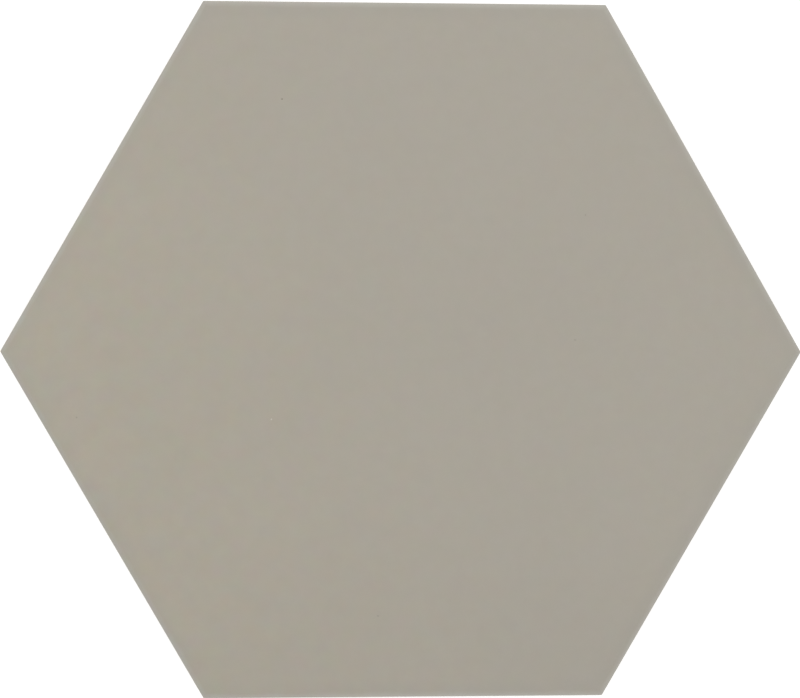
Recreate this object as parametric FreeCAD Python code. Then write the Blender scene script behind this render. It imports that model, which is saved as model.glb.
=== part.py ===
import FreeCAD
import Part
import math
import os

# Hexagon floor tile: dry-pressed stoneware, glazed on the face and fired, all in one piece.
# Lengths are in millimetres. The tile lies on its back at Z = 0 with the glazed face up.
# +X runs from the centre to a corner, and +Y to the middle of a side.

# Outline, seen from above
ACROSS_FLATS = 216.5  # from one side to the opposite side, which makes 250 from corner to corner
CORNER_RADIUS = 0.5  # the six upright corners, as the press die rounds them

# Section through the rim, from the face down
THICKNESS = 9.0  # from the rib tops on the back to the face
ARRIS_RADIUS = 2.0  # the glazed edge, rolled over from the face into the side
BAND_HEIGHT = 3.0  # upright strip of the side, the widest part of the tile
TAPER_INSET = 0.9  # how far the side leans in below that strip
FOOT_CHAMFER = 0.5  # the small bevel where the side meets the back

# Honeycomb of keying ribs on the back, for the adhesive
KEY_DEPTH = 0.8  # height of the ribs, and so the depth of the pockets between them
DRAFT_ANGLE = 40.0  # lean of every rib wall, in degrees from upright, so that the punch lets go
CELL_PITCH = 18.0  # from the centre of one pocket to the centre of the next
RIB_WIDTH = 2.0  # width of a rib at its top
PLAIN_MARGIN = 6.0  # plain strip between the side and the rim rib
RIM_RIB_WIDTH = 3.0  # the rib that closes the honeycomb all round, at its top
SMALLEST_POCKET = 0.15  # the rim rib takes in a cut pocket below this share of a whole one

OVERSHOOT = 1.0  # how far a cutting plug, or a plate that is joined on, runs past the surface it works on

SIDES = 6
STEP_ANGLE = 360.0 / SIDES
HALF_STEP = math.radians(STEP_ANGLE / 2)
UP = FreeCAD.Vector(0, 0, 1)
ORIGIN = FreeCAD.Vector(0, 0, 0)

HALF_FLATS = ACROSS_FLATS / 2
ACROSS_CORNERS = ACROSS_FLATS / math.cos(HALF_STEP)
BAND_TOP = THICKNESS - ARRIS_RADIUS
BAND_BOTTOM = BAND_TOP - BAND_HEIGHT
DRAFT_SLOPE = math.tan(math.radians(DRAFT_ANGLE))
RIM_RIB_OUTSIDE = HALF_FLATS - PLAIN_MARGIN
FIELD_HALF_FLATS = RIM_RIB_OUTSIDE - RIM_RIB_WIDTH
CELL_HALF_FLATS = (CELL_PITCH - RIB_WIDTH) / 2


def hexagon(half_flats, z, first_corner):
    """Corners of a level hexagon round the Z axis, with the first one at that angle from +X in degrees."""
    reach = half_flats / math.cos(HALF_STEP)
    corners = []
    for i in range(SIDES):
        angle = math.radians(first_corner + i * STEP_ANGLE)
        corners.append(FreeCAD.Vector(reach * math.cos(angle), reach * math.sin(angle), z))
    return corners


def flat_face(*corners):
    """The flat face inside a closed run of corners."""
    return Part.Face(Part.makePolygon([*corners, corners[0]]))


def bar_section():
    """The tile's section across two opposite sides, in the YZ plane, without the ribs on the back."""
    foot_y = HALF_FLATS - TAPER_INSET
    arris_y = HALF_FLATS - ARRIS_RADIUS
    arris_reach = ARRIS_RADIUS * math.sin(math.radians(45))

    def side_edges(way):
        """Edges of one side from the back up to the face, where way is +1 or -1 along Y."""
        outline = [
            FreeCAD.Vector(0, way * (foot_y - FOOT_CHAMFER), KEY_DEPTH),
            FreeCAD.Vector(0, way * foot_y, KEY_DEPTH + FOOT_CHAMFER),
            FreeCAD.Vector(0, way * HALF_FLATS, BAND_BOTTOM),
            FreeCAD.Vector(0, way * HALF_FLATS, BAND_TOP),
        ]
        edges = [Part.LineSegment(a, b).toShape() for a, b in zip(outline, outline[1:])]
        arris_middle = FreeCAD.Vector(0, way * (arris_y + arris_reach), BAND_TOP + arris_reach)
        face_edge = FreeCAD.Vector(0, way * arris_y, THICKNESS)
        edges.append(Part.Arc(outline[-1], arris_middle, face_edge).toShape())
        return outline[0], edges, face_edge

    left_foot, left, left_face_edge = side_edges(-1)
    right_foot, right, right_face_edge = side_edges(1)
    back = Part.LineSegment(left_foot, right_foot).toShape()
    face = Part.LineSegment(right_face_edge, left_face_edge).toShape()
    return Part.Face(Part.Wire([back, *right, face, *reversed(left)]))


def die_wall():
    """The press die's cavity: an upright hexagon with its corners rounded."""
    cavity = flat_face(*hexagon(HALF_FLATS, 0, 0)).extrude(UP * THICKNESS)
    upright = [edge for edge in cavity.Edges if edge.BoundBox.ZLength > THICKNESS / 2]
    return cavity.makeFillet(CORNER_RADIUS, upright)


def pressed_slab():
    """The plain slab: three bars of the same section, crossed at 60 degrees, keep what all of them hold.

    The sides, tapers and arrises so meet in mitres at the six corners, which the die wall then rounds.
    """
    along = FreeCAD.Vector(ACROSS_CORNERS, 0, 0)
    bar = bar_section().extrude(along)
    bar.translate(-along / 2)
    slab = die_wall()
    for i in range(SIDES // 2):
        crossed = bar.copy()
        crossed.rotate(ORIGIN, UP, i * STEP_ANGLE)
        slab = slab.common(crossed)
    return slab


def drafted_plug(half_flats, first_corner, low, high, lean):
    """A hexagonal plug from low to high, half_flats wide at Z = 0, with walls that lean by the draft.

    lean is +1 where it widens upwards, as the rib plate does, and -1 where it narrows, as a pocket does.
    """
    below, above = [hexagon(half_flats + lean * z * DRAFT_SLOPE, z, first_corner) for z in (low, high)]
    faces = [flat_face(*below), flat_face(*above)]
    for i in range(SIDES):
        faces.append(flat_face(below[i - 1], below[i], above[i], above[i - 1]))
    return Part.makeSolid(Part.makeShell(faces))


def rib_plate():
    """The raised plate on the back that the pockets are sunk into. It runs up into the slab."""
    return drafted_plug(RIM_RIB_OUTSIDE, 0, 0, KEY_DEPTH + OVERSHOOT, 1)


def pocket_centres():
    """Centres of the honeycomb: one in the middle, with rings round it as far as the rim rib."""
    row_spacing = CELL_PITCH * math.cos(HALF_STEP)
    cell_reach = CELL_HALF_FLATS / math.cos(HALF_STEP)
    rings = int((FIELD_HALF_FLATS + cell_reach) / row_spacing)
    centres = []
    for row in range(-rings, rings + 1):
        for place in range(-rings, rings + 1):
            if abs(row + place) <= rings:
                centres.append(FreeCAD.Vector((place + row / 2) * CELL_PITCH, row * row_spacing, 0))
    return centres


def pockets():
    """Every pocket of the honeycomb. The ones at its edge are cut off along the rim rib's inner wall."""
    whole = drafted_plug(CELL_HALF_FLATS, STEP_ANGLE / 2, -OVERSHOOT, KEY_DEPTH, -1)
    field = drafted_plug(FIELD_HALF_FLATS, 0, -OVERSHOOT, KEY_DEPTH, -1)
    kept = []
    for centre in pocket_centres():
        pocket = whole.copy()
        pocket.translate(centre)
        inside = pocket.common(field)
        if inside.Volume > SMALLEST_POCKET * whole.Volume:
            kept.extend(inside.Solids)
    return kept


def hexagon_tile():
    """The whole tile: the slab and its rib plate, with the pockets sunk into the back."""
    blank = pressed_slab().fuse(rib_plate())
    return blank.cut(Part.makeCompound(pockets())).removeSplitter().Solids[0]


os.makedirs("parts", exist_ok=True)
tile = hexagon_tile()
tile.exportStep("parts/hexagon_tile.step")

size = tile.BoundBox
print("size", round(size.XLength, 2), "x", round(size.YLength, 2), "x", round(size.ZLength, 2), "mm")
print("volume", round(tile.Volume / 1000, 2), "cm3, faces", len(tile.Faces), "valid", tile.isValid())
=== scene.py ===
# %% [markdown]
# # A hexagon floor tile in matt glazed stoneware
#
# The real tile is one slab of clay, feldspar and sand. A press squeezes the dry powder in a steel
# die, a coat of glaze is sprayed on, and one firing at about 1200 °C turns both to stone and
# glass. Seen from above it is nearly nothing: one quiet colour inside a rolled edge. What makes
# it believable is small, and this lesson is about that: the soft light on the edge, its paler
# tone, which is partly thin glaze and partly painted highlight, a darker band just inside it, the
# line where the glaze ends on the side, and the ribbed back.
#
# The slab comes from the construction model with its real sizes. A finer copy of it is modelled
# here, and takes its place in the picture.

# %% Load the frame
import math

import bmesh
import bpy
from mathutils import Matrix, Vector


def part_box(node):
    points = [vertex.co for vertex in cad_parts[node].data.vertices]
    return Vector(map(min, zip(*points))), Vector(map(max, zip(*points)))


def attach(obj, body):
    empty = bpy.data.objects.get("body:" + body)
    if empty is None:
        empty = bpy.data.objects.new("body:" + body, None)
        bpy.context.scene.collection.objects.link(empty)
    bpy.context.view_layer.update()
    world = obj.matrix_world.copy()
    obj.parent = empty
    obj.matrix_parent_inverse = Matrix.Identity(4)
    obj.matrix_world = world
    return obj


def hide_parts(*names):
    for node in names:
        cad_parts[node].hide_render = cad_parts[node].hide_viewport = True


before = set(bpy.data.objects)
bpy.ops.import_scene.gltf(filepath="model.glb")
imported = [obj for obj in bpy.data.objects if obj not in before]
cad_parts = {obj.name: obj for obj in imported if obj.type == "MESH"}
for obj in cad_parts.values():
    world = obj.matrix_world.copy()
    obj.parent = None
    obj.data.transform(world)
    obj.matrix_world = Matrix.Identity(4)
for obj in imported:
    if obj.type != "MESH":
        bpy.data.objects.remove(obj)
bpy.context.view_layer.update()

# %% [markdown]
# ## Sizes
#
# The tile's width and thickness are read from the frame, so the finished tile can't drift from the
# constructed one. The smaller sizes, which are those of the press die, each come with the step
# that first needs them. Blender works in metres, so every length is written times MM.

# %% Sizes of the tile
MM = 0.001
SIDES = 6
STEP_ANGLE = math.radians(360 / SIDES)
HALF_STEP = STEP_ANGLE / 2

tile_low, tile_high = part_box("hexagon_tile")
HALF_FLATS = tile_high.y
THICKNESS = tile_high.z

print("Across flats", round(2 * HALF_FLATS / MM, 2), "mm, thick", round(THICKNESS / MM, 2), "mm")

# %% [markdown]
# ## Working by selection
#
# Every operator acts on what is selected, as it does under the mouse, and loading the frame leaves
# its parts selected. Two helpers keep that tidy. One makes a piece the only selected object. The
# other picks vertices, edges or faces inside it by a test on their place, which stays right when a
# count changes, as a list of numbers wouldn't.

# %% Helpers for selecting
def work_on(piece, mode="OBJECT"):
    """Makes a piece the only selected one, in object or edit mode."""
    if bpy.context.object and bpy.context.object.mode != "OBJECT":
        bpy.ops.object.mode_set(mode="OBJECT")
    bpy.ops.object.select_all(action="DESELECT")
    piece.select_set(True)
    bpy.context.view_layer.objects.active = piece
    bpy.ops.object.mode_set(mode=mode)


def pick(piece, kind, test):
    """In edit mode, selects the vertices, edges or faces that pass a test, and counts them."""
    bpy.ops.mesh.select_mode(type=kind)
    bpy.ops.mesh.select_all(action="DESELECT")
    mesh = bmesh.from_edit_mesh(piece.data)
    elements = {"VERT": mesh.verts, "EDGE": mesh.edges, "FACE": mesh.faces}[kind]
    chosen = [element for element in elements if test(element)]
    for element in chosen:
        element.select_set(True)
    mesh.select_flush_mode()
    bmesh.update_edit_mesh(piece.data)
    return len(chosen)


print("Selected after loading:", [piece.name for piece in bpy.context.selected_objects])

# %% [markdown]
# ## The face
#
# A single hexagon would do for a perfect plane, but a fired face has long, low waves, and those
# need vertices to move. A hexagon made of six triangles splits into an even net of small ones when
# it is subdivided, with no pinched pole in the middle and rows that run along all six sides.
#
# A circle with six vertices is that hexagon. It is turned by half a step so that two of its
# corners lie on the X axis. It stops a little inside the edge, so that one flat strip lies between
# the net and the curve.

# %% The flat face as a net of triangles
ARRIS_RADIUS = 2.0 * MM  # the rolled edge
FLAT_STRIP = 1.0 * MM
NET_HALF_FLATS = HALF_FLATS - ARRIS_RADIUS - FLAT_STRIP
NET_CUTS = 63


def apply_place(piece):
    """Puts the object at the origin, unturned, with its place in its mesh."""
    work_on(piece)
    bpy.ops.object.transform_apply(location=True, rotation=True, scale=True)


bpy.ops.object.select_all(action="DESELECT")
bpy.ops.mesh.primitive_circle_add(
    vertices=SIDES,
    radius=NET_HALF_FLATS / math.cos(HALF_STEP),
    fill_type="TRIFAN",
    location=(0, 0, THICKNESS),
    rotation=(0, 0, HALF_STEP),
)
tile = bpy.context.object
tile.name = "pressed_tile"
apply_place(tile)
work_on(tile, "EDIT")
bpy.ops.mesh.select_all(action="SELECT")
bpy.ops.mesh.subdivide(number_cuts=NET_CUTS)
print("Net spacing", round(NET_HALF_FLATS / math.cos(HALF_STEP) / (NET_CUTS + 1) / MM, 2), "mm")

# %% [markdown]
# ## The section, as rings
#
# Everything from the face down to the back is one section that runs round all six sides. A prism
# with bevelled edges comes near it, but has no lip of glaze and no taper below. So the boundary of
# the net is extruded again and again, and each new ring is scaled about the middle and lowered to
# the next point of the section. Scaling a hexagon keeps its corners on one line, so the rolled
# edge meets itself in a clean mitre at each corner, as it does in the die.
#
# The section is written as a few corners, each with the radius of its rounding, and one function
# turns them into points. Nothing that was pressed and fired has a truly sharp edge.

# %% A section with rounded corners
ARC_STEP = math.radians(10)


def rounded(corners):
    """Points of a section. Each corner is its half flats, its height and its rounding's radius."""
    points = []
    for i, (half_flats, height, radius) in enumerate(corners):
        corner = Vector((half_flats, height))
        if radius == 0:
            points.append(corner)
            continue
        backwards = (Vector(corners[i - 1][:2]) - corner).normalized()
        onwards = (Vector(corners[i + 1][:2]) - corner).normalized()
        turn = math.pi - backwards.angle(onwards)
        tangent = radius * math.tan(turn / 2)
        centre = corner + (backwards + onwards).normalized() * radius / math.cos(turn / 2)
        start = corner + backwards * tangent - centre
        end = corner + onwards * tangent - centre
        steps = math.ceil(turn / ARC_STEP)
        for k in range(steps + 1):
            # from start to end, turned evenly about the centre
            on_arc = start * math.sin(turn * (1 - k / steps)) + end * math.sin(turn * k / steps)
            points.append(centre + on_arc / math.sin(turn))
    return points


def extrude_rings(points):
    """Extrudes the selected ring or face from the first point of a section through the rest."""
    for now, then in zip(points, points[1:]):
        bpy.ops.mesh.extrude_region()
        share = then.x / now.x
        bpy.ops.transform.resize(value=(share, share, 1), center_override=(0, 0, 0))
        bpy.ops.transform.translate(value=(0, 0, then.y - now.y))


square_corner = rounded([(0, 1, 0), (1, 1, 0.5), (1, 0, 0)])
print("A square corner is rounded with", len(square_corner) - 2, "points")

# %% [markdown]
# ## The rolled edge and the glazed side
#
# The glaze covers the face, rolls over the edge with it and stops a few millimetres down the side,
# where the spray no longer reached. There it ends in a soft lip that stands a tenth of a
# millimetre proud of the bare body. Bump could draw such a step, but the outline of the side would
# lack it, so it is in the section.
#
# The piece gets its two material slots now. Its faces are all in the first, the glaze's, which is
# right for every face that this cell ends with.

# %% Extrude the glazed part
GLAZE_LIP = 5.3 * MM  # height of the line where the glaze ends
GLAZE_COAT = 0.1 * MM
BARE_HALF_FLATS = HALF_FLATS - GLAZE_COAT

glazed_section = rounded([
    (NET_HALF_FLATS, THICKNESS, 0),
    (HALF_FLATS, THICKNESS, ARRIS_RADIUS),
    (HALF_FLATS, GLAZE_LIP, GLAZE_COAT),
    (BARE_HALF_FLATS, GLAZE_LIP - GLAZE_COAT, 0),
])
tile.data.materials.append(bpy.data.materials.new("matt_stoneware_glaze"))
tile.data.materials.append(bpy.data.materials.new("bare_stoneware_body"))
GLAZED, BARE = 0, 1

pick(tile, "EDGE", lambda edge: edge.is_boundary)
extrude_rings(glazed_section)
print("Glazed rings", len(glazed_section) - 1)

# %% [markdown]
# ## The bare side and the back's rim
#
# Below the glaze the side runs straight down and then leans in, so that the tile leaves the die
# and grout can key under it. A small bevel ends it. The margin under the tile is plain, and then
# the rim rib stands down from it to the plane that the tile lies on. The last ring is closed with
# one face, which is the top of all the ribs before any pocket is sunk into it. What lies below the
# lip is then picked by its height and goes to the second material slot.

# %% Extrude the bare part
BAND_BOTTOM = 4.0 * MM  # where the upright side ends and the taper starts
TAPER_INSET = 0.9 * MM
FOOT_CHAMFER = 0.5 * MM
KEY_DEPTH = 0.8 * MM  # height of the ribs, and so the depth of the pockets
DRAFT_SLOPE = math.tan(math.radians(40))  # lean of every rib wall, from upright
PLAIN_MARGIN = 6.0 * MM
RIM_RIB_WIDTH = 3.0 * MM
BAND_ROUNDING = 1.5 * MM
SOFT_EDGE = 0.3 * MM
CRISP_EDGE = 0.15 * MM

FOOT_HALF_FLATS = HALF_FLATS - TAPER_INSET
RIM_RIB_OUTSIDE = HALF_FLATS - PLAIN_MARGIN
LAST_RING = RIM_RIB_OUTSIDE - RIM_RIB_WIDTH / 4

bare_section = rounded([
    (BARE_HALF_FLATS, GLAZE_LIP - GLAZE_COAT, 0),
    (BARE_HALF_FLATS, BAND_BOTTOM, BAND_ROUNDING),
    (FOOT_HALF_FLATS, KEY_DEPTH + FOOT_CHAMFER, SOFT_EDGE),
    (FOOT_HALF_FLATS - FOOT_CHAMFER, KEY_DEPTH, CRISP_EDGE),
    (RIM_RIB_OUTSIDE + KEY_DEPTH * DRAFT_SLOPE, KEY_DEPTH, SOFT_EDGE),
    (RIM_RIB_OUTSIDE, 0, CRISP_EDGE),
    (LAST_RING, 0, 0),
])
extrude_rings(bare_section)
bpy.ops.mesh.edge_face_add()

bare_faces = pick(tile, "FACE", lambda face: face.calc_center_median().z < GLAZE_LIP - GLAZE_COAT)
tile.active_material_index = BARE
bpy.ops.object.material_slot_assign()
print("Bare faces", bare_faces)

# %% [markdown]
# ## The six upright corners
#
# So far the corners are knife edges from the face down to the foot. The die rounds them by half a
# millimetre, which is what the corners in the photograph show. The first ring could have been
# rounded instead, but then the net would need rounded corners too. The bevel operator does it
# afterwards, along the whole mitre at once. It measures its offset from the edge, and for a radius
# between two sides that is the radius times the tangent of half their turn.

# %% Round the corners
CORNER_RADIUS = 0.5 * MM
MITRE_START = (NET_HALF_FLATS + FLAT_STRIP / 2) / math.cos(HALF_STEP)  # past the net
OFF_CORNER = 1e-4  # how far off a corner's direction still counts as on it, in steps


def on_mitre(edge):
    """True for an edge that runs down a corner of the hexagon, outside the net on the face."""
    for vertex in edge.verts:
        steps = math.atan2(vertex.co.y, vertex.co.x) / STEP_ANGLE
        if abs(steps - round(steps)) > OFF_CORNER:
            return False
    outermost = max(vertex.co.xy.length for vertex in edge.verts)
    return outermost > MITRE_START or edge.verts[0].co.z < THICKNESS / 2


mitres = pick(tile, "EDGE", on_mitre)
bpy.ops.mesh.bevel(
    affect="EDGES",
    offset_type="OFFSET",
    offset=CORNER_RADIUS * math.tan(HALF_STEP),
    segments=math.ceil(STEP_ANGLE / ARC_STEP),
    clamp_overlap=False,
)
print("Mitre edges", mitres)

# %% [markdown]
# Where the bevel runs into a flat, it lifts a few vertices out of it by some microns. Scaling them
# to nothing in Z puts them back into the plane, once for the face and once for the rib tops.
#
# The bevel also leaves the last digits of some heights to chance, so that no two runs would give
# quite the same mesh. The heights are rounded to seven digits of a metre, which is a
# ten-thousandth of a millimetre.

# %% Flatten the face and the rib plane
HEIGHT_DIGITS = 7

def count_faces(piece):
    """Triangles of a piece, and its open edges, which a closed form has none of."""
    mesh = bmesh.new()
    mesh.from_mesh(piece.data)
    triangles = sum(len(face.verts) - 2 for face in mesh.faces)
    loose = sum(not edge.is_manifold for edge in mesh.edges)
    mesh.free()
    return f"{triangles} triangles, {loose} open edges"


stray = pick(tile, "VERT", lambda vertex: vertex.co.z > THICKNESS)
bpy.ops.transform.resize(value=(1, 1, 0), center_override=(0, 0, THICKNESS))
print(stray, "vertices put back into the face")

stray = pick(tile, "VERT", lambda vertex: vertex.co.z < 0)
bpy.ops.transform.resize(value=(1, 1, 0), center_override=(0, 0, 0))
print(stray, "vertices put back into the plane of the ribs")

bpy.ops.mesh.select_all(action="SELECT")
bpy.ops.mesh.normals_make_consistent(inside=False)
bpy.ops.object.mode_set(mode="OBJECT")
for vertex in tile.data.vertices:
    vertex.co.z = round(vertex.co.z, HEIGHT_DIGITS)
print("The slab:", count_faces(tile))

# %% [markdown]
# ## The honeycomb on the back
#
# Nobody sees the back of a laid tile, but a tile in the hand shows it first. The lower punch
# presses a honeycomb of ribs there, and the adhesive keys into its pockets.
#
# The pockets could be inset into the back face one by one. It is surer to model one pocket as a
# solid and copy it over a triangular grid. The copies at the edge are trimmed by one large hexagon
# with the same lean, and all of them are cut from the slab together. Cutting whole solids keeps
# the tile closed, as drawing faces by hand wouldn't.
#
# Pocket and large hexagon are both rings drawn up through a section, as the slab was drawn down
# through its own. So one helper makes either, closed at both ends.

# %% A closed solid from a section
POCKET_CORNER_STEPS = 3


def hexagon_solid(name, turn, corner_radius, points):
    """A closed hexagonal solid through a section's points, from its lower end to its upper end."""
    bpy.ops.object.select_all(action="DESELECT")
    bpy.ops.mesh.primitive_circle_add(
        vertices=SIDES,
        radius=points[0].x / math.cos(HALF_STEP),
        fill_type="NGON",
        location=(0, 0, points[0].y),
        rotation=(0, 0, turn),
    )
    solid = bpy.context.object
    solid.name = name
    apply_place(solid)
    work_on(solid, "EDIT")
    bpy.ops.mesh.select_all(action="SELECT")
    if corner_radius > 0:
        bpy.ops.mesh.bevel(
            affect="VERTICES",
            offset_type="OFFSET",
            offset=corner_radius * math.tan(HALF_STEP),
            segments=POCKET_CORNER_STEPS,
        )
        bpy.ops.mesh.select_all(action="SELECT")
    extrude_rings(points)
    bpy.ops.mesh.select_all(action="SELECT")
    bpy.ops.mesh.normals_make_consistent(inside=False)
    bpy.ops.object.mode_set(mode="OBJECT")
    return solid


print("Corners lie", round(1 / math.cos(HALF_STEP), 3), "times as far out as the sides")

# %% [markdown]
# The pocket is a hexagon with rounded corners. Its wall leans, so that the punch lets go, and
# meets the floor in a soft edge. The mouth is flared where it meets the rib tops, which makes the
# ribs' edges soft once the pocket has been cut out. And the solid starts a little below the rib
# tops, because two faces in one plane are what a Boolean cut handles worst.

# %% One pocket as a solid
CELL_PITCH = 18.0 * MM
RIB_WIDTH = 2.0 * MM
POCKET_HALF_FLATS = (CELL_PITCH - RIB_WIDTH) / 2
POCKET_CORNER_RADIUS = 1.4 * MM
BELOW = 0.3 * MM
FLARE_HEIGHT = 0.12 * MM
FLARE_SLOPE = math.tan(math.radians(62))
FLOOR_RADIUS = 0.4 * MM


def wall_section(half_flats, top, floor_radius):
    """Section of a drafted wall from below the rib tops up to a height, with its flared mouth.

    A rounding needs a line to run into, so a point on the floor is added, and dropped again.
    """
    at_flare = half_flats - FLARE_HEIGHT * DRAFT_SLOPE
    at_top = half_flats - top * DRAFT_SLOPE
    points = rounded([
        (at_flare + (BELOW + FLARE_HEIGHT) * FLARE_SLOPE, -BELOW, 0),
        (at_flare, FLARE_HEIGHT, 0),
        (at_top, top, floor_radius),
        (at_top / 2, top, 0),
    ])
    return points[:-1]


pocket_points = wall_section(POCKET_HALF_FLATS, KEY_DEPTH, FLOOR_RADIUS)
pocket = hexagon_solid("pocket", 0, POCKET_CORNER_RADIUS, pocket_points)
print("One pocket:", count_faces(pocket))

# %% [markdown]
# The grid has one pocket in the middle and rings of them round it. Along each row they are one
# pitch apart, and each row is shifted by half a pitch.

# %% Copy the pocket over the grid
FIELD_HALF_FLATS = RIM_RIB_OUTSIDE - RIM_RIB_WIDTH
ROW_SPACING = CELL_PITCH * math.cos(HALF_STEP)
RINGS = int((FIELD_HALF_FLATS + POCKET_HALF_FLATS / math.cos(HALF_STEP)) / ROW_SPACING)

copies = []
for row in range(-RINGS, RINGS + 1):
    for place in range(-RINGS, RINGS + 1):
        if abs(row + place) <= RINGS:
            copied = pocket.copy()
            copied.data = pocket.data.copy()
            copied.location = ((place + row / 2) * CELL_PITCH, row * ROW_SPACING, 0)
            bpy.context.collection.objects.link(copied)
            copies.append(copied)
bpy.data.meshes.remove(pocket.data)

work_on(copies[0])
for copied in copies:
    copied.select_set(True)
joined_meshes = [copied.data for copied in copies[1:]]
bpy.ops.object.join()
for mesh in joined_meshes:
    bpy.data.meshes.remove(mesh)
pockets = bpy.context.object
apply_place(pockets)
print(len(copies), "pockets:", count_faces(pockets))

# %% [markdown]
# An exact Boolean gives the right shape, but lists its vertices and faces in another order in
# each run, and a face with many corners is then split into other triangles. So each result is
# written out again in an order that depends on places alone: the vertices by where they are, and
# each face from its first vertex. The edges come back with the faces.

# %% A helper that puts a mesh in order
def put_in_order(piece):
    """Lists a piece's vertices by place and its faces by vertices, the same way in every run."""
    mesh = bmesh.new()
    mesh.from_mesh(piece.data)
    for index, vertex in enumerate(sorted(mesh.verts, key=lambda vertex: tuple(vertex.co))):
        vertex.index = index
    mesh.verts.sort()
    faces = []
    for face in mesh.faces:
        corners = [vertex.index for vertex in face.verts]
        first = corners.index(min(corners))
        faces.append((corners[first:] + corners[:first], face.material_index))
    for edge in list(mesh.edges):
        mesh.edges.remove(edge)
    mesh.verts.ensure_lookup_table()
    for corners, material_index in sorted(faces):
        face = mesh.faces.new([mesh.verts[index] for index in corners])
        face.material_index = material_index
    mesh.to_mesh(piece.data)
    mesh.free()


print("Vertices of the pockets before the trim", len(pockets.data.vertices))

# %% [markdown]
# The outermost pockets stand out over the rim rib. The large hexagon keeps what lies inside it. It
# has the wall and the flared mouth of a pocket, and reaches past their floors, so that it trims
# nothing but their sides.

# %% Trim the pockets along the rim rib
PAST_FLOORS = 0.4 * MM


def apply_boolean(piece, other, operation):
    """Cuts or trims a piece with another solid, which is then deleted."""
    work_on(piece)
    boolean = piece.modifiers.new("boolean", "BOOLEAN")
    boolean.operation = operation
    boolean.solver = "EXACT"
    boolean.object = other
    bpy.ops.object.modifier_apply(modifier=boolean.name)
    bpy.data.meshes.remove(other.data)
    put_in_order(piece)


field_points = wall_section(FIELD_HALF_FLATS, KEY_DEPTH + PAST_FLOORS, 0)
field = hexagon_solid("field", HALF_STEP, 0, field_points)
apply_boolean(pockets, field, "INTERSECT")
print("Trimmed pockets:", count_faces(pockets))

# %% [markdown]
# The pockets are one object of many closed solids now, so a single Difference cuts them all. A
# new wall takes its material from the solid that cut it. So the pockets get the tile's two slots,
# in the same order, and all their faces go to the bare body.

# %% Sink the pockets into the back
pockets.data.materials.clear()
for material in tile.data.materials:
    pockets.data.materials.append(material)
for face in pockets.data.polygons:
    face.material_index = BARE
apply_boolean(tile, pockets, "DIFFERENCE")
print("The tile with its back:", count_faces(tile))

# %% [markdown]
# ## Nothing fired is quite true
#
# In the kiln the slab softens, and its face comes out with waves of a few hundredths of a
# millimetre, too low to feel and just enough to trouble a reflection. The lip of the glaze wanders
# up and down the side by about half a millimetre. Bump would do for the waves, but the lip is a
# shape, and a mesh keeps its shape where its material is lost. So both are made by a Displace
# modifier with a cloud texture that reads the piece's own coordinates. A vertex group says how far
# each vertex follows.

# %% Helpers for waves
def assign_weight(piece, group, weight, test):
    """Gives the vertices that pass a test that weight in a vertex group."""
    if group not in piece.vertex_groups:
        piece.vertex_groups.new(name=group)
    piece.vertex_groups.active_index = piece.vertex_groups[group].index
    pick(piece, "VERT", test)
    bpy.context.scene.tool_settings.vertex_group_weight = weight
    bpy.ops.object.vertex_group_assign()


def displace_upright(piece, group, wave_length, strength, mid_level):
    """Moves a vertex group up and down by plain soft clouds, and applies it."""
    clouds = bpy.data.textures.new(group, "CLOUDS")
    clouds.noise_scale = wave_length
    clouds.noise_depth = 1
    work_on(piece)
    displace = piece.modifiers.new(group, "DISPLACE")
    displace.texture = clouds
    displace.texture_coords = "LOCAL"
    displace.direction = "Z"
    displace.vertex_group = group
    displace.strength = strength
    displace.mid_level = mid_level
    bpy.ops.object.modifier_apply(modifier=displace.name)


print("Vertices that could wave", len(tile.data.vertices))

# %% [markdown]
# The waves fade out over the outer rings of the net, before the rolled edge, and only the rings of
# the lip wander. The middle level says which cloud leaves the surface where it is. For the lip it
# is the middle grey one, so it wanders both ways. For the face it is the brightest, so the waves
# only ever push down, and the tile stays as thick as it was built.
#
# At the end the surface is shaded smooth wherever it turns by less than 25 degrees, which takes in
# every rounding's steps and leaves the ribs' flat tops flat.

# %% Waves in the face, and a wandering glaze line
WAVE_LENGTH = 28 * MM
WAVE_DEPTH = 0.05 * MM
WAVE_FADE_RINGS = 8
LIP_LENGTH = 7 * MM
LIP_WANDER = 1.6 * MM
LIP_RINGS = 1.5 * GLAZE_COAT
ONLY_DOWN = 1.0
BOTH_WAYS = 0.5
SMOOTH_BELOW = math.radians(25)
MICRON = 0.001 * MM

SIDE_DIRECTIONS = [
    Vector((math.cos(HALF_STEP + k * STEP_ANGLE), math.sin(HALF_STEP + k * STEP_ANGLE), 0))
    for k in range(SIDES // 2)
]


def hexagon_reach(point):
    """Half flats of the hexagon through a point, or its reach towards the nearest side."""
    return max(abs(point.dot(direction)) for direction in SIDE_DIRECTIONS)


work_on(tile, "EDIT")
ring_spacing = NET_HALF_FLATS / (NET_CUTS + 1)
for ring in range(1, WAVE_FADE_RINGS + 1):
    limit = NET_HALF_FLATS - (ring - 0.5) * ring_spacing  # halfway between two rings
    assign_weight(
        tile,
        "fired_waves",
        ring / WAVE_FADE_RINGS,
        lambda vertex: vertex.co.z > THICKNESS - MICRON and hexagon_reach(vertex.co) < limit,
    )
assign_weight(tile, "glaze_line", 1.0, lambda vertex: abs(vertex.co.z - GLAZE_LIP) < LIP_RINGS)
displace_upright(tile, "fired_waves", WAVE_LENGTH, WAVE_DEPTH, ONLY_DOWN)
displace_upright(tile, "glaze_line", LIP_LENGTH, LIP_WANDER, BOTH_WAYS)

work_on(tile)
bpy.ops.object.shade_smooth_by_angle(angle=SMOOTH_BELOW)
print("Box", [round(length / MM, 3) for length in tile.dimensions], "mm")

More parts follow.
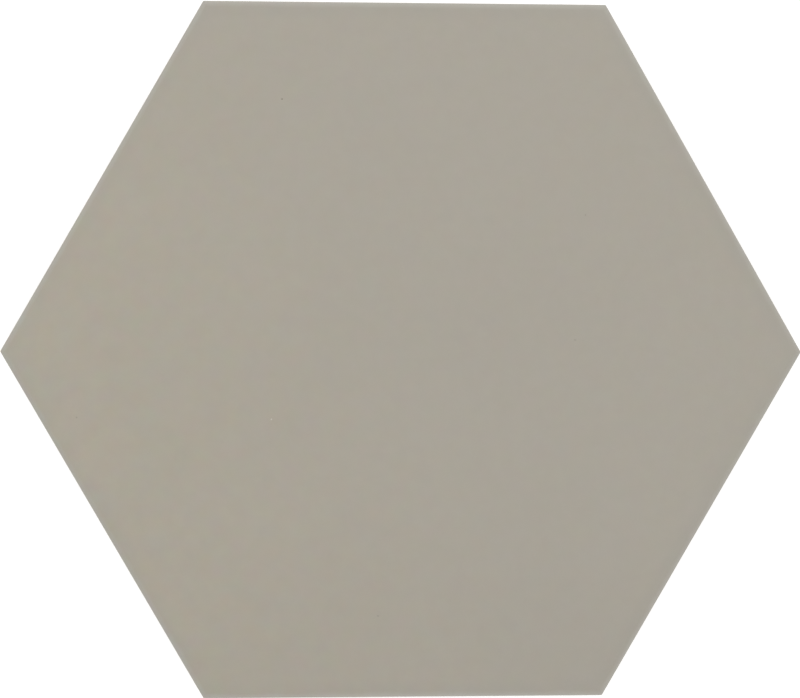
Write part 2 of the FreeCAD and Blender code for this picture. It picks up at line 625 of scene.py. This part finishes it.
# %% [markdown]
# ## Materials: one way to add a node
#
# Colours are written as hex values, as a paint shop would, and turned to the linear values that
# the renderer works in. One small function adds any node, with its settings and its links. Every
# pattern reads Object coordinates, which are metres on this piece, so a pattern of a real size is
# a noise whose scale is one over that size.
#
# A noise rarely leaves the middle of its range. So each one is stretched from there, with a Map
# Range node, to the swing that the real surface has.

# %% Helpers for materials
MIDDLE_OF_NOISE = {"From Min": 0.3, "From Max": 0.7}


def linear(hex_colour):
    """Linear RGBA of an sRGB hex colour, by the curve of the sRGB standard."""
    channels = [int(hex_colour[i:i + 2], 16) / 255 for i in (1, 3, 5)]
    return (*[c / 12.92 if c <= 0.04045 else ((c + 0.055) / 1.055) ** 2.4 for c in channels], 1.0)


def add(tree, kind, inputs=None, **settings):
    """Adds a node. Its inputs, by name or number, are values or the outputs of other nodes."""
    node = tree.nodes.new("ShaderNode" + kind)
    for name, value in settings.items():
        setattr(node, name, value)
    for name, value in (inputs or {}).items():
        if isinstance(value, bpy.types.NodeSocket):
            tree.links.new(value, node.inputs[name])
        else:
            node.inputs[name].default_value = value
    return node


print("#808080 is", round(linear("#808080")[0], 3), "of the light that white sends back")

# %% [markdown]
# ## The glaze: its tone near the edge
#
# It is a matt stoneware glaze: glass full of crystals too small to see, so it scatters light like
# chalk. Its colour is a greige. How strong the colour is depends on how thick the coat lies. On
# the rolled edge the colour is paler and more neutral. Part of that is because the glaze thins
# there and the pale body shows through. The rest is a painted highlight for the light on the edge.
# Just inside the edge lies a slightly darker band.
#
# So the first thing the material needs is each point's depth inside the hexagon. That is what
# remains of the half flats after the largest of three projections, one for each pair of sides. A
# noise pushes it about by a few tenths of a millimetre, so that the bands along the edge wander.

# %% The glaze: depth inside the edge
BAND_WOBBLE_LENGTH = 9 * MM
BAND_WOBBLE_SWING = 0.3 * MM

glaze = tile.data.materials[GLAZED]
glaze.use_nodes = True
tree = glaze.node_tree
tree.nodes.clear()
place = add(tree, "TexCoord").outputs["Object"]

reach = 0.0
for direction in SIDE_DIRECTIONS:
    along = add(tree, "VectorMath", {0: place, 1: direction}, operation="DOT_PRODUCT")
    along = add(tree, "Math", {0: along.outputs["Value"]}, operation="ABSOLUTE")
    reach = add(tree, "Math", {0: reach, 1: along.outputs[0]}, operation="MAXIMUM").outputs[0]
depth = add(tree, "Math", {0: HALF_FLATS, 1: reach}, operation="SUBTRACT").outputs[0]

band_wobble = add(tree, "TexNoise", {"Vector": place, "Scale": 1 / BAND_WOBBLE_LENGTH}).outputs[0]
band_wobble = {"Value": band_wobble, **MIDDLE_OF_NOISE, "To Min": -BAND_WOBBLE_SWING, "To Max": BAND_WOBBLE_SWING}
band_wobble = add(tree, "MapRange", band_wobble).outputs[0]
depth = add(tree, "Math", {0: depth, 1: band_wobble}, operation="ADD").outputs[0]
print("Nodes for the depth", len(tree.nodes))

# %% [markdown]
# The face colour drifts from warm to cool across the tile. This is painted light: the face is
# lighter and warmer at the left, where more light falls, and a little darker and cooler to the
# right. The warm end is at the left, a little towards the front, and the drift is over a little
# right of the middle. Three tones are laid over that colour.
#
# - Towards the front side the colour is a touch darker: painted shade, for the light that falls
#   off there.
# - In a band a few millimetres inside the edge it is a touch darker again.
# - On the curve and the side below it the colour is paler. Part of that is thin glaze, through
#   which the body shows, and part is a painted highlight on the rolled edge.
#
# A darker tone multiplies what lies under it, and the paler one replaces it. Each comes in softly
# between two places, of which either may be the greater, since a Map Range node runs both ways. A
# Mix node has its own sockets for numbers, vectors and colours, so those for colours get names.

# %% The glaze: its tones
# Painted light: the face is lighter and warmer towards the left, and dimmer and cooler towards the
# right.
WARM_LIT_FACE_COLOUR = "#AFA899"
COOL_DIMMER_FACE_COLOUR = "#ACA69A"
COOL_TOWARDS = math.radians(20)
COOL_FROM = 40 * MM
# Painted shade: the face darkens towards the front, where the light falls off.
PAINTED_FRONT_SHADE_TINT = "#FCFCFC"
PAINTED_FRONT_SHADE_FROM = -40 * MM
PAINTED_FRONT_SHADE_TO = -105 * MM
# A band a few millimetres inside the edge is made a touch darker.
INNER_BAND_TINT = "#FCFDFE"
INNER_BAND_FROM = 6.5 * MM
INNER_BAND_TO = 2.6 * MM
# Partly thin glaze, partly painted highlight: the rolled edge and the side below it are paler.
THIN_GLAZE_AND_HIGHLIGHT_COLOUR = "#B0ACA2"
THIN_AND_HIGHLIGHT_FROM = 2.2 * MM
THIN_AND_HIGHLIGHT_TO = 0.6 * MM
FACTOR, COLOUR_A, COLOUR_B = 0, 6, 7
MIXED_COLOUR = 2

towards_cool = (math.cos(COOL_TOWARDS), math.sin(COOL_TOWARDS), 0)
# painted light across the face, from the lighter, warmer left towards the right
across = add(tree, "VectorMath", {0: place, 1: towards_cool}, operation="DOT_PRODUCT")
painted_light_drift = {"Value": across.outputs["Value"], "From Min": tile_low.x, "From Max": COOL_FROM}
painted_light_drift = add(tree, "MapRange", painted_light_drift, interpolation_type="SMOOTHSTEP").outputs[0]
tones = {COLOUR_A: linear(WARM_LIT_FACE_COLOUR), COLOUR_B: linear(COOL_DIMMER_FACE_COLOUR)}
mix = add(tree, "Mix", {FACTOR: painted_light_drift, **tones}, data_type="RGBA")
glaze_colour = mix.outputs[MIXED_COLOUR]

along_y = add(tree, "SeparateXYZ", {0: place}).outputs["Y"]
overlays = [
    # painted shade, darker towards the front
    (along_y, PAINTED_FRONT_SHADE_TINT, "MULTIPLY", PAINTED_FRONT_SHADE_FROM, PAINTED_FRONT_SHADE_TO),
    (depth, INNER_BAND_TINT, "MULTIPLY", INNER_BAND_FROM, INNER_BAND_TO),
    # partly thin glaze, partly a painted highlight on the rolled edge
    (depth, THIN_GLAZE_AND_HIGHLIGHT_COLOUR, "MIX", THIN_AND_HIGHLIGHT_FROM, THIN_AND_HIGHLIGHT_TO),
]
for measure, colour, blend, starts, whole in overlays:
    cover = {"Value": measure, "From Min": starts, "From Max": whole}
    cover = add(tree, "MapRange", cover, interpolation_type="SMOOTHSTEP").outputs[0]
    tones = {FACTOR: cover, COLOUR_A: glaze_colour, COLOUR_B: linear(colour)}
    mix = add(tree, "Mix", tones, data_type="RGBA", blend_type=blend)
    glaze_colour = mix.outputs[MIXED_COLOUR]
    print(colour, "starts at", round(starts / MM, 1), "mm, whole at", round(whole / MM, 1), "mm")

# %% [markdown]
# A sprayed and fired coat is never one even tone. Broad clouds come from the spray, and a fine
# mottle from the crystals. One noise with much detail has both, but ties their strengths together,
# so each size is a noise of its own, laid over the colour by a function that the bare body uses
# too. Each swings by a hundredth or less, because more would look like natural stone. The finest
# grain is 0.5 mm, which is as small as this picture can show. The real crystals are finer still.
#
# Nor is it one even hue: the coat is a breath pinker here and greener there, as its thickness
# changes, and more so towards the warm end. The noise node's colour output is three noises in one,
# and a Linear Light mix adds what each is above or below grey. So red, green and blue move each on
# its own, in patches of some millimetres that the eye takes as one quiet colour.

# %% The glaze: clouds, mottle and grain
TONE_SWINGS = {55 * MM: 0.008, 3.5 * MM: 0.010, 0.5 * MM: 0.0045}
HUE_PATCH = 6 * MM
WARM_HUE_SHARE = 0.025
COOL_HUE_SHARE = 0.010


def mottled(tree, place, colour, swings):
    """A colour made lighter and darker by noises, which are given as {size: swing}."""
    for size, swing in swings.items():
        noise = add(tree, "TexNoise", {"Vector": place, "Scale": 1 / size}).outputs[0]
        tone = {"Value": noise, **MIDDLE_OF_NOISE, "To Min": 1 - swing, "To Max": 1 + swing}
        tone = add(tree, "MapRange", tone).outputs[0]
        colour = add(tree, "VectorMath", {0: colour, "Scale": tone}, operation="SCALE").outputs[0]
        print("Pattern of", round(size / MM, 1), "mm swings by", swing)
    return colour


glaze_colour = mottled(tree, place, glaze_colour, TONE_SWINGS)
noise = add(tree, "TexNoise", {"Vector": place, "Scale": 1 / HUE_PATCH}).outputs["Color"]
share = {"Value": painted_light_drift, "To Min": WARM_HUE_SHARE, "To Max": COOL_HUE_SHARE}
share = add(tree, "MapRange", share).outputs[0]
hues = {FACTOR: share, COLOUR_A: glaze_colour, COLOUR_B: noise}
mix = add(tree, "Mix", hues, data_type="RGBA", blend_type="LINEAR_LIGHT")
glaze_colour = mix.outputs[MIXED_COLOUR]
print("The hue changes in patches of", round(HUE_PATCH / MM, 1), "mm")

# %% [markdown]
# The photograph also shows a few marks that such a glaze has: a dark speck where a grain of iron
# burnt through, a pale one where a bubble left a pinhole, and some fainter ones. Each is a small
# round spot at its place on the face, about half a millimetre across, which is solid at its core
# and fades out just past its radius. They are small pits as well, so their mask goes into the
# relief too.

# %% The glaze: specks and pinholes
IRON_COLOUR = "#868173"
PINHOLE_COLOUR = "#CAC6BA"
FAINT_COLOUR = "#9A9588"
SPECKS = [  # each with its place on the face, its radius and its colour
    (-38.17 * MM, 78.02 * MM, 0.28 * MM, IRON_COLOUR),
    (-41.40 * MM, -20.98 * MM, 0.28 * MM, PINHOLE_COLOUR),
    (-8.19 * MM, -82.46 * MM, 0.25 * MM, FAINT_COLOUR),
    (-101.41 * MM, -20.36 * MM, 0.22 * MM, FAINT_COLOUR),
    (56.26 * MM, 42.74 * MM, 0.22 * MM, FAINT_COLOUR),
    (53.18 * MM, 3.76 * MM, 0.22 * MM, FAINT_COLOUR),
]
SPECK_CORE = 0.5
SPECK_FADES = 1.2

pits = 0.0
for x, y, radius, colour in SPECKS:
    away = add(tree, "VectorMath", {0: place, 1: (x, y, THICKNESS)}, operation="DISTANCE")
    edge = {"From Min": SPECK_FADES * radius, "From Max": SPECK_CORE * radius}
    spot = {"Value": away.outputs["Value"], **edge}
    spot = add(tree, "MapRange", spot, interpolation_type="SMOOTHSTEP").outputs[0]
    tones = {FACTOR: spot, COLOUR_A: glaze_colour, COLOUR_B: linear(colour)}
    glaze_colour = add(tree, "Mix", tones, data_type="RGBA").outputs[MIXED_COLOUR]
    pits = add(tree, "Math", {0: pits, 1: spot}, operation="MAXIMUM").outputs[0]
print("Specks", len(SPECKS))

# %% [markdown]
# ## The glaze: its surface
#
# Glass has an IOR of 1.5. A satin glaze would have a roughness near 0.3. This one is matt, so the
# light leaves it almost as evenly as from paper, with only a broad dull shine at a low angle:
# about 0.56, and a little more or less in patches. Its relief is like an eggshell: low swells of
# a few millimetres from the melt, and a fine tooth where crystals poke through. Heights are in
# metres, so the bump has the slopes of a real relief of some thousandths of a millimetre.

# %% The glaze: relief and shine
RELIEF_HEIGHTS = {2.5 * MM: 0.006 * MM, 0.4 * MM: 0.003 * MM}
PIT_DEPTH = 0.05 * MM
SHINE_PATCH = 6 * MM
ROUGHNESS = {"To Min": 0.53, "To Max": 0.60}
SILICATE_IOR = 1.5

relief = add(tree, "Math", {0: pits, 1: -PIT_DEPTH}, operation="MULTIPLY").outputs[0]
for size, height in RELIEF_HEIGHTS.items():
    noise = add(tree, "TexNoise", {"Vector": place, "Scale": 1 / size}).outputs[0]
    rise = {"Value": noise, **MIDDLE_OF_NOISE, "To Min": 0.0, "To Max": height}
    rise = add(tree, "MapRange", rise).outputs[0]
    relief = add(tree, "Math", {0: relief, 1: rise}, operation="ADD").outputs[0]
bump = add(tree, "Bump", {"Height": relief, "Strength": 1.0, "Distance": 1.0})

patches = add(tree, "TexNoise", {"Vector": place, "Scale": 1 / SHINE_PATCH}).outputs[0]
roughness = {"Value": patches, **MIDDLE_OF_NOISE, **ROUGHNESS}
roughness = add(tree, "MapRange", roughness).outputs[0]
surface = add(tree, "BsdfPrincipled", {
    "Base Color": glaze_colour,
    "Roughness": roughness,
    "IOR": SILICATE_IOR,
    "Normal": bump.outputs["Normal"],
})
add(tree, "OutputMaterial", {"Surface": surface.outputs["BSDF"]})
print("Glaze nodes", len(tree.nodes))

# %% [markdown]
# ## The bare body
#
# Unglazed stoneware is dense and dry: no shine to speak of, with a roughness of 0.85. The eye
# sees a pale warm grey, with sand in it and some darker grains of the ground rock. The grains are
# solid specks all through the clay, so they are the cells of a 3D Voronoi pattern that the
# surface cuts, and only the middle of each cell is dark.
#
# A mill leaves no two grains alike. Each cell has a random colour of its own, which here says how
# far its grain reaches, from a dot to a third of the spacing. And a fine noise pushes the pattern
# about by up to a tenth of a millimetre, which chips the round grains.

# %% The bare body: sand and grains
BODY_COLOUR = "#C6BDAD"
ROCK_COLOUR = "#8F8676"
ROCK_SPACING = 1.5 * MM
ROCK_CORE = 0.06
ROCK_SMALLEST = 0.10
ROCK_LARGEST = 0.34
ROCK_COVER = 0.7
CHIP_SIZE = 0.35 * MM
CHIP_PUSH = 0.5 * MM
BODY_SWINGS = {18 * MM: 0.02, 0.9 * MM: 0.02, 0.3 * MM: 0.03}

body = tile.data.materials[BARE]
body.use_nodes = True
tree = body.node_tree
tree.nodes.clear()
place = add(tree, "TexCoord").outputs["Object"]

chips = add(tree, "TexNoise", {"Vector": place, "Scale": 1 / CHIP_SIZE}).outputs["Color"]
pushed = {0: chips, 1: (CHIP_PUSH, CHIP_PUSH, CHIP_PUSH), 2: place}
pushed = add(tree, "VectorMath", pushed, operation="MULTIPLY_ADD").outputs[0]
cells = add(tree, "TexVoronoi", {"Vector": pushed, "Scale": 1 / ROCK_SPACING})
rim = {"Value": cells.outputs["Color"], "To Min": ROCK_SMALLEST, "To Max": ROCK_LARGEST}
rim = add(tree, "MapRange", rim).outputs[0]
rock = {"Value": cells.outputs["Distance"], "From Min": rim, "From Max": ROCK_CORE}
rock = add(tree, "MapRange", {**rock, "To Max": ROCK_COVER}).outputs[0]
tones = {FACTOR: rock, COLOUR_A: linear(BODY_COLOUR), COLOUR_B: linear(ROCK_COLOUR)}
body_colour = add(tree, "Mix", tones, data_type="RGBA").outputs[MIXED_COLOUR]
body_colour = mottled(tree, place, body_colour, BODY_SWINGS)
print("Grains of rock every", round(ROCK_SPACING / MM, 1), "mm")

# %% [markdown]
# Two things happened to the body after it was pressed. It was pushed up out of the die, whose
# wall drew faint upright lines down the side: a noise stretched along Z by a Mapping node. And its
# ribs were dusted with a white wash, so that it wouldn't stick to the kiln's rollers. That stays
# on the rib tops as a chalky bloom, so it is a mask on height with a worn, patchy noise in it.

# %% The bare body: drag lines and kiln wash
DRAG_WIDTH = 0.7 * MM
DRAG_STRETCH = 0.03
DRAG_SWING = 0.03
WASH_COLOUR = "#E4E0D7"
WASH_REACH = 0.12 * MM
WASH_PATCH = 4 * MM
WASH_DETAIL = 4.0
WASH_COVER = {"To Min": 0.15, "To Max": 0.9}

drag_place = add(tree, "Mapping", {"Vector": place, "Scale": (1, 1, DRAG_STRETCH)}).outputs[0]
body_colour = mottled(tree, drag_place, body_colour, {DRAG_WIDTH: DRAG_SWING})

height = add(tree, "SeparateXYZ", {0: place}).outputs["Z"]
on_ribs = {"Value": height, "From Min": WASH_REACH, "From Max": 0.0}
on_ribs = add(tree, "MapRange", on_ribs).outputs[0]
patches = {"Vector": place, "Scale": 1 / WASH_PATCH, "Detail": WASH_DETAIL}
patches = add(tree, "TexNoise", patches).outputs[0]
worn = add(tree, "MapRange", {"Value": patches, **MIDDLE_OF_NOISE, **WASH_COVER}).outputs[0]
wash = add(tree, "Math", {0: on_ribs, 1: worn}, operation="MULTIPLY").outputs[0]
tones = {FACTOR: wash, COLOUR_A: body_colour, COLOUR_B: linear(WASH_COLOUR)}
body_colour = add(tree, "Mix", tones, data_type="RGBA").outputs[MIXED_COLOUR]
print("Kiln wash up to", round(WASH_REACH / MM, 2), "mm above the rib tops")

# %% [markdown]
# To the finger the body feels like fine sandpaper. The relief is a grit of a third of a
# millimetre, and the drag lines again, a little raised. Both are far below what could be modelled
# in the mesh, so they are bump.

# %% The bare body: relief
GRIT_SIZE = 0.35 * MM
GRIT_HEIGHT = 0.015 * MM
DRAG_HEIGHT = 0.015 * MM
DRY_ROUGHNESS = 0.85

relief = 0.0
rises = [(place, GRIT_SIZE, GRIT_HEIGHT), (drag_place, DRAG_WIDTH, DRAG_HEIGHT)]
for where, size, height in rises:
    noise = add(tree, "TexNoise", {"Vector": where, "Scale": 1 / size}).outputs[0]
    rise = {0: noise, 1: height, 2: relief}
    relief = add(tree, "Math", rise, operation="MULTIPLY_ADD").outputs[0]
bump = add(tree, "Bump", {"Height": relief, "Strength": 1.0, "Distance": 1.0})
surface = add(tree, "BsdfPrincipled", {
    "Base Color": body_colour,
    "Roughness": DRY_ROUGHNESS,
    "IOR": SILICATE_IOR,
    "Normal": bump.outputs["Normal"],
})
add(tree, "OutputMaterial", {"Surface": surface.outputs["BSDF"]})
print("Body nodes", len(tree.nodes))

# %% [markdown]
# ## Floor and light
#
# The tile lies on a level white ground, as on a sheet of matt paper, with no shine that would
# mirror a lamp. More light would turn the sheet white, but would bleach the tile as well. So for
# the light the sheet is only pale, which lets the tile's own soft shadow show on it, and what the
# camera or a reflection sees of it is lifted to white.

# %% The floor
FLOOR_SIZE = 8.0
FLOOR_LIFT = 0.50
PAPER_COLOUR = "#E7E7E7"
WHITE = linear("#FFFFFF")

bpy.ops.object.select_all(action="DESELECT")
bpy.ops.mesh.primitive_plane_add(size=FLOOR_SIZE, location=(0, 0, 0))
floor = bpy.context.object
floor.name = "studio_floor"


def seen_directly(tree):
    """One where the camera or a reflection looks, and zero for light that falls on something."""
    path = add(tree, "LightPath").outputs
    seen = 0.0
    for ray in ("Is Camera Ray", "Is Glossy Ray", "Is Transmission Ray"):
        seen = add(tree, "Math", {0: seen, 1: path[ray]}, operation="MAXIMUM").outputs[0]
    return seen


paper = bpy.data.materials.new("white_studio_paper")
paper.use_nodes = True
tree = paper.node_tree
tree.nodes.clear()
matt = add(tree, "BsdfDiffuse", {"Color": linear(PAPER_COLOUR)})
lift = add(tree, "Math", {0: seen_directly(tree), 1: FLOOR_LIFT}, operation="MULTIPLY").outputs[0]
glow = add(tree, "Emission", {"Color": WHITE, "Strength": lift})
both = add(tree, "AddShader", {0: matt.outputs[0], 1: glow.outputs[0]})
add(tree, "OutputMaterial", {"Surface": both.outputs[0]})
floor.data.materials.append(paper)
print("The floor is", FLOOR_SIZE, "m wide, of", paper.name)

# %% [markdown]
# The light in the picture is soft and nearly even, and a little stronger from behind the tile, on
# both sides. So most of it is a plain white dome, two soft lamps stand behind the tile to the left
# and right, and a weak one stands in front. Each light's strength is written as its share of the
# light on the face, where a share of one in all shows a colour as it is written.

# %% The dome
DOME_SHARE = 0.721

world = bpy.data.worlds.new("studio")
bpy.context.scene.world = world
world.use_nodes = True
tree = world.node_tree
tree.nodes.clear()
level = {"Value": seen_directly(tree), "To Min": DOME_SHARE, "To Max": 1.0}
level = add(tree, "MapRange", level).outputs[0]
background = add(tree, "Background", {"Color": WHITE, "Strength": level})
add(tree, "OutputWorld", {"Surface": background.outputs[0]})
print("The dome gives", DOME_SHARE, "of the light")

# %% [markdown]
# A lamp's power follows from its share. Its light thins out with the square of the distance, and
# from low down it strikes the face at a slant, so a lamp that is far off or low needs more power.
# The camera doesn't see the lamps themselves.

# %% Three soft lamps
# Each lamp: its share, azimuth and elevation in degrees, then distance, width and height in metres
LAMPS = {
    "left_lamp": (0.076, 140, 32, 0.9, 0.6, 0.45),
    "right_lamp": (0.077, 50, 32, 0.9, 0.6, 0.45),
    "front_lamp": (0.038, 280, 20, 2.4, 1.4, 0.8),
}


def soft_lamp(name, share, azimuth, elevation, distance, width, height):
    """A softbox that faces the tile. Azimuth runs from +X towards +Y, elevation from the floor."""
    azimuth, elevation = math.radians(azimuth), math.radians(elevation)
    away, up = distance * math.cos(elevation), distance * math.sin(elevation)
    stand = Vector((away * math.cos(azimuth), away * math.sin(azimuth), up))
    turn = stand.to_track_quat("Z", "Y").to_euler()
    bpy.ops.object.light_add(type="AREA", location=stand, rotation=turn)
    lamp = bpy.context.object
    lamp.name = name
    lamp.data.shape = "RECTANGLE"
    lamp.data.size = width
    lamp.data.size_y = height
    lamp.data.energy = share * math.pi ** 2 * distance ** 2 / math.sin(elevation)
    lamp.visible_camera = False
    print(name, "of", round(lamp.data.energy, 2), "W")


for name, settings in LAMPS.items():
    soft_lamp(name, *settings)

# %% [markdown]
# ## Camera
#
# The photograph looks straight down, but not perfectly: the far side of the tile is a little
# shorter than the near one. An orthographic camera would draw the two alike. One with perspective,
# 600 mm up, slightly off centre and tilted by three degrees, gives the side lengths of the
# photograph to within a millimetre.

# %% The camera
CAMERA_PLACE = (-31.46 * MM, 18.84 * MM, 600 * MM)
CAMERA_TURN = (math.radians(-1.745), math.radians(-2.895), math.radians(0.147))
SENSOR_WIDTH = 36.0
IMAGE_WIDTH = 800
FOCAL_PIXELS = 1904.6  # the focal length, in pixels of the picture
NEAREST_SEEN = 10 * MM

bpy.ops.object.camera_add(location=CAMERA_PLACE, rotation=CAMERA_TURN)
camera = bpy.context.object
camera.name = "camera"
camera.data.sensor_width = SENSOR_WIDTH
camera.data.lens = FOCAL_PIXELS * SENSOR_WIDTH / IMAGE_WIDTH
camera.data.clip_start = NEAREST_SEEN
bpy.context.scene.camera = camera
bpy.context.scene.view_settings.view_transform = "Standard"
print("Lens", round(camera.data.lens, 1), "mm")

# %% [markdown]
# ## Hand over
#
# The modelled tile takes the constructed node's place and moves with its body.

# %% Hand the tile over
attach(tile, "root")
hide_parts("hexagon_tile")
